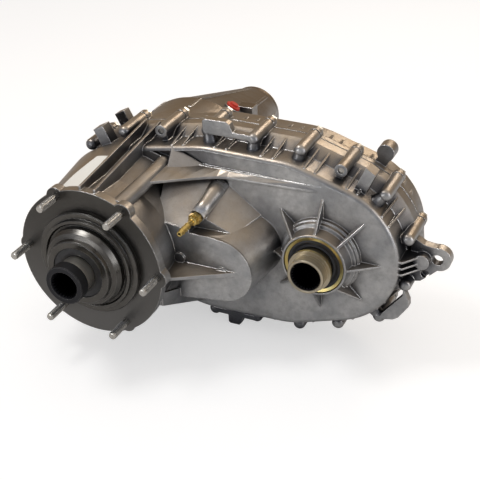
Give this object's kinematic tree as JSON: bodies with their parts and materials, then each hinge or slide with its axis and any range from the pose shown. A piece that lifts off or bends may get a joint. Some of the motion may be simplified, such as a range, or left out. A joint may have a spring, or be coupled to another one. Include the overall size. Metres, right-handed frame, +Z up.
{
  "type": "transfer case",
  "caption": "Chain-driven part-time transfer case with studded input flange, ribbed aluminium halves, splined front output and tapered tail housing.",
  "frame": {"origin": "where the input axis crosses the front face of the input flange", "axes": "+Y from the input flange to the tail along the main axis, +X towards the front output shaft, +Z up as the case lies on its lugs"},
  "size_m": [0.5245, 0.5605, 0.296],
  "materials": {
    "cast_aluminium": "rough sand-cast aluminium with machined faces",
    "machined_aluminium": "machined",
    "dark_steel": "dark phosphated steel",
    "bright_steel": "ground steel",
    "stud_steel": "zinc plated",
    "bearing_steel": "polished",
    "yellow_zinc": "yellow zinc plated steel",
    "rubber": "black moulded rubber",
    "sealant": "cured black sealant",
    "brass": "turned brass",
    "red_plastic": "moulded red plastic",
    "white_label": "blank white label",
    "pump_plastic": "moulded black plastic",
    "magnet_grey": "sintered ferrite"
  },
  "bodies": {
    "case": {"case_bolts": "stud_steel", "case_dowels": "bright_steel", "case_sealant": "sealant", "chain_links": "dark_steel", "chain_pins": "dark_steel", "detent_plug": "dark_steel", "drain_plug": "dark_steel", "fill_plug": "dark_steel", "front_housing": "cast_aluminium", "input_bearing_outer": "bearing_steel", "input_retainer": "dark_steel", "input_seal": "rubber", "input_studs": "stud_steel", "label_plate": "white_label", "magnet": "magnet_grey", "oil_pump_body": "machined_aluminium", "output_bearing_outer": "bearing_steel", "output_rear_bearing": "bearing_steel", "output_seal_case": "yellow_zinc", "output_seal_lip": "rubber", "pickup_screen": "pump_plastic", "pickup_tube": "pump_plastic", "rear_bearing_outer": "bearing_steel", "rear_housing": "cast_aluminium", "red_plug": "red_plastic", "ring_gear": "dark_steel", "shift_rail": "bright_steel", "tail_bushing": "pump_plastic", "tail_seal": "rubber", "vent_fitting": "brass"},
    "input": {"input_shaft": "bright_steel", "input_bearing_inner": "bearing_steel"},
    "carrier": {"planet_carrier": "dark_steel", "planet_pins": "bright_steel"},
    "main": {"mainshaft": "bright_steel", "mainshaft_snap_ring": "dark_steel", "pump_inner_rotor": "dark_steel", "tone_wheel": "dark_steel", "rear_bearing_inner": "bearing_steel"},
    "range_collar": {"range_sleeve": "dark_steel"},
    "mode_collar": {"mode_sleeve": "dark_steel"},
    "drive_wheel": {"drive_sprocket": "dark_steel"},
    "output": {"front_output_shaft": "bright_steel", "driven_sprocket": "dark_steel", "output_bearing_inner": "bearing_steel", "output_snap_ring": "dark_steel"},
    "input_balls": {"input_bearing_cage": "bearing_steel"},
    "rear_balls": {"rear_bearing_cage": "bearing_steel"},
    "output_balls": {"output_bearing_cage": "bearing_steel"},
    "pump_ring": {"pump_outer_rotor": "dark_steel"},
    "range_shifter": {"range_fork": "dark_steel"},
    "mode_shifter": {"mode_fork": "dark_steel"},
    "cam": {"shift_cam": "bright_steel"},
    "planet_1": {"planet_gear_1": "dark_steel"},
    "planet_2": {"planet_gear_2": "dark_steel"},
    "planet_3": {"planet_gear_3": "dark_steel"},
    "planet_4": {"planet_gear_4": "dark_steel"}
  },
  "joints": [
    {"name": "main_spin", "type": "hinge", "parent": "case", "child": "main", "pos_m": [0, 0, 0], "axis": [0, 1, 0], "continuous": true},
    {"name": "input_spin", "type": "hinge", "parent": "case", "child": "input", "pos_m": [0, 0, 0], "axis": [0, 1, 0], "continuous": true},
    {"name": "carrier_spin", "type": "hinge", "parent": "case", "child": "carrier", "pos_m": [0, 0, 0], "axis": [0, 1, 0], "continuous": true},
    {"name": "drive_sprocket_spin", "type": "hinge", "parent": "case", "child": "drive_wheel", "pos_m": [0, 0, 0], "axis": [0, 1, 0], "continuous": true},
    {"name": "output_spin", "type": "hinge", "parent": "case", "child": "output", "pos_m": [0.25559, 0, 0], "axis": [0, 1, 0], "continuous": true},
    {"name": "input_cage_spin", "type": "hinge", "parent": "case", "child": "input_balls", "pos_m": [0, 0, 0], "axis": [0, 1, 0], "continuous": true},
    {"name": "rear_cage_spin", "type": "hinge", "parent": "case", "child": "rear_balls", "pos_m": [0, 0, 0], "axis": [0, 1, 0], "continuous": true},
    {"name": "output_cage_spin", "type": "hinge", "parent": "case", "child": "output_balls", "pos_m": [0.25559, 0, 0], "axis": [0, 1, 0], "continuous": true},
    {"name": "pump_ring_spin", "type": "hinge", "parent": "case", "child": "pump_ring", "pos_m": [0.002, 0, 0], "axis": [0, 1, 0], "continuous": true},
    {"name": "planet_1_spin", "type": "hinge", "parent": "carrier", "child": "planet_1", "pos_m": [0.05175, 0, 0], "axis": [0, 1, 0], "continuous": true},
    {"name": "planet_2_spin", "type": "hinge", "parent": "carrier", "child": "planet_2", "pos_m": [0, 0, 0.05175], "axis": [0, 1, 0], "continuous": true},
    {"name": "planet_3_spin", "type": "hinge", "parent": "carrier", "child": "planet_3", "pos_m": [-0.05175, 0, 0], "axis": [0, 1, 0], "continuous": true},
    {"name": "planet_4_spin", "type": "hinge", "parent": "carrier", "child": "planet_4", "pos_m": [0, 0, -0.05175], "axis": [0, 1, 0], "continuous": true},
    {"name": "shift_turn", "type": "hinge", "parent": "case", "child": "cam", "pos_m": [0.16, 0, -0.015], "axis": [0, 1, 0], "range_deg": [0, 40]},
    {"name": "range_fork_slide", "type": "slide", "parent": "case", "child": "range_shifter", "axis": [0, 1, 0], "range_m": [0, 0.012]},
    {"name": "range_sleeve_slide", "type": "slide", "parent": "main", "child": "range_collar", "axis": [0, 1, 0], "range_m": [0, 0.012]},
    {"name": "mode_fork_slide", "type": "slide", "parent": "case", "child": "mode_shifter", "axis": [0, 1, 0], "range_m": [0, 0.01]},
    {"name": "mode_sleeve_slide", "type": "slide", "parent": "main", "child": "mode_collar", "axis": [0, 1, 0], "range_m": [0, 0.01]}
  ],
  "couplings": [
    {"joint": "input_spin", "follows": "main_spin", "ratio": 1},
    {"joint": "carrier_spin", "follows": "main_spin", "ratio": 0.36957},
    {"joint": "drive_sprocket_spin", "follows": "main_spin", "ratio": 1},
    {"joint": "output_spin", "follows": "main_spin", "ratio": 1},
    {"joint": "input_cage_spin", "follows": "main_spin", "ratio": 0.42},
    {"joint": "rear_cage_spin", "follows": "main_spin", "ratio": 0.42},
    {"joint": "output_cage_spin", "follows": "main_spin", "ratio": 0.44},
    {"joint": "pump_ring_spin", "follows": "main_spin", "ratio": 0.85714},
    {"joint": "range_fork_slide", "follows": "range_sleeve_slide", "ratio": 1},
    {"joint": "shift_turn", "follows": "range_sleeve_slide", "rad_per_m": 58.178},
    {"joint": "mode_sleeve_slide", "follows": "mode_fork_slide", "ratio": 1},
    {"joint": "planet_1_spin", "follows": "main_spin", "ratio": -1.7862},
    {"joint": "planet_2_spin", "follows": "main_spin", "ratio": -1.7862},
    {"joint": "planet_3_spin", "follows": "main_spin", "ratio": -1.7862},
    {"joint": "planet_4_spin", "follows": "main_spin", "ratio": -1.7862}
  ]
}
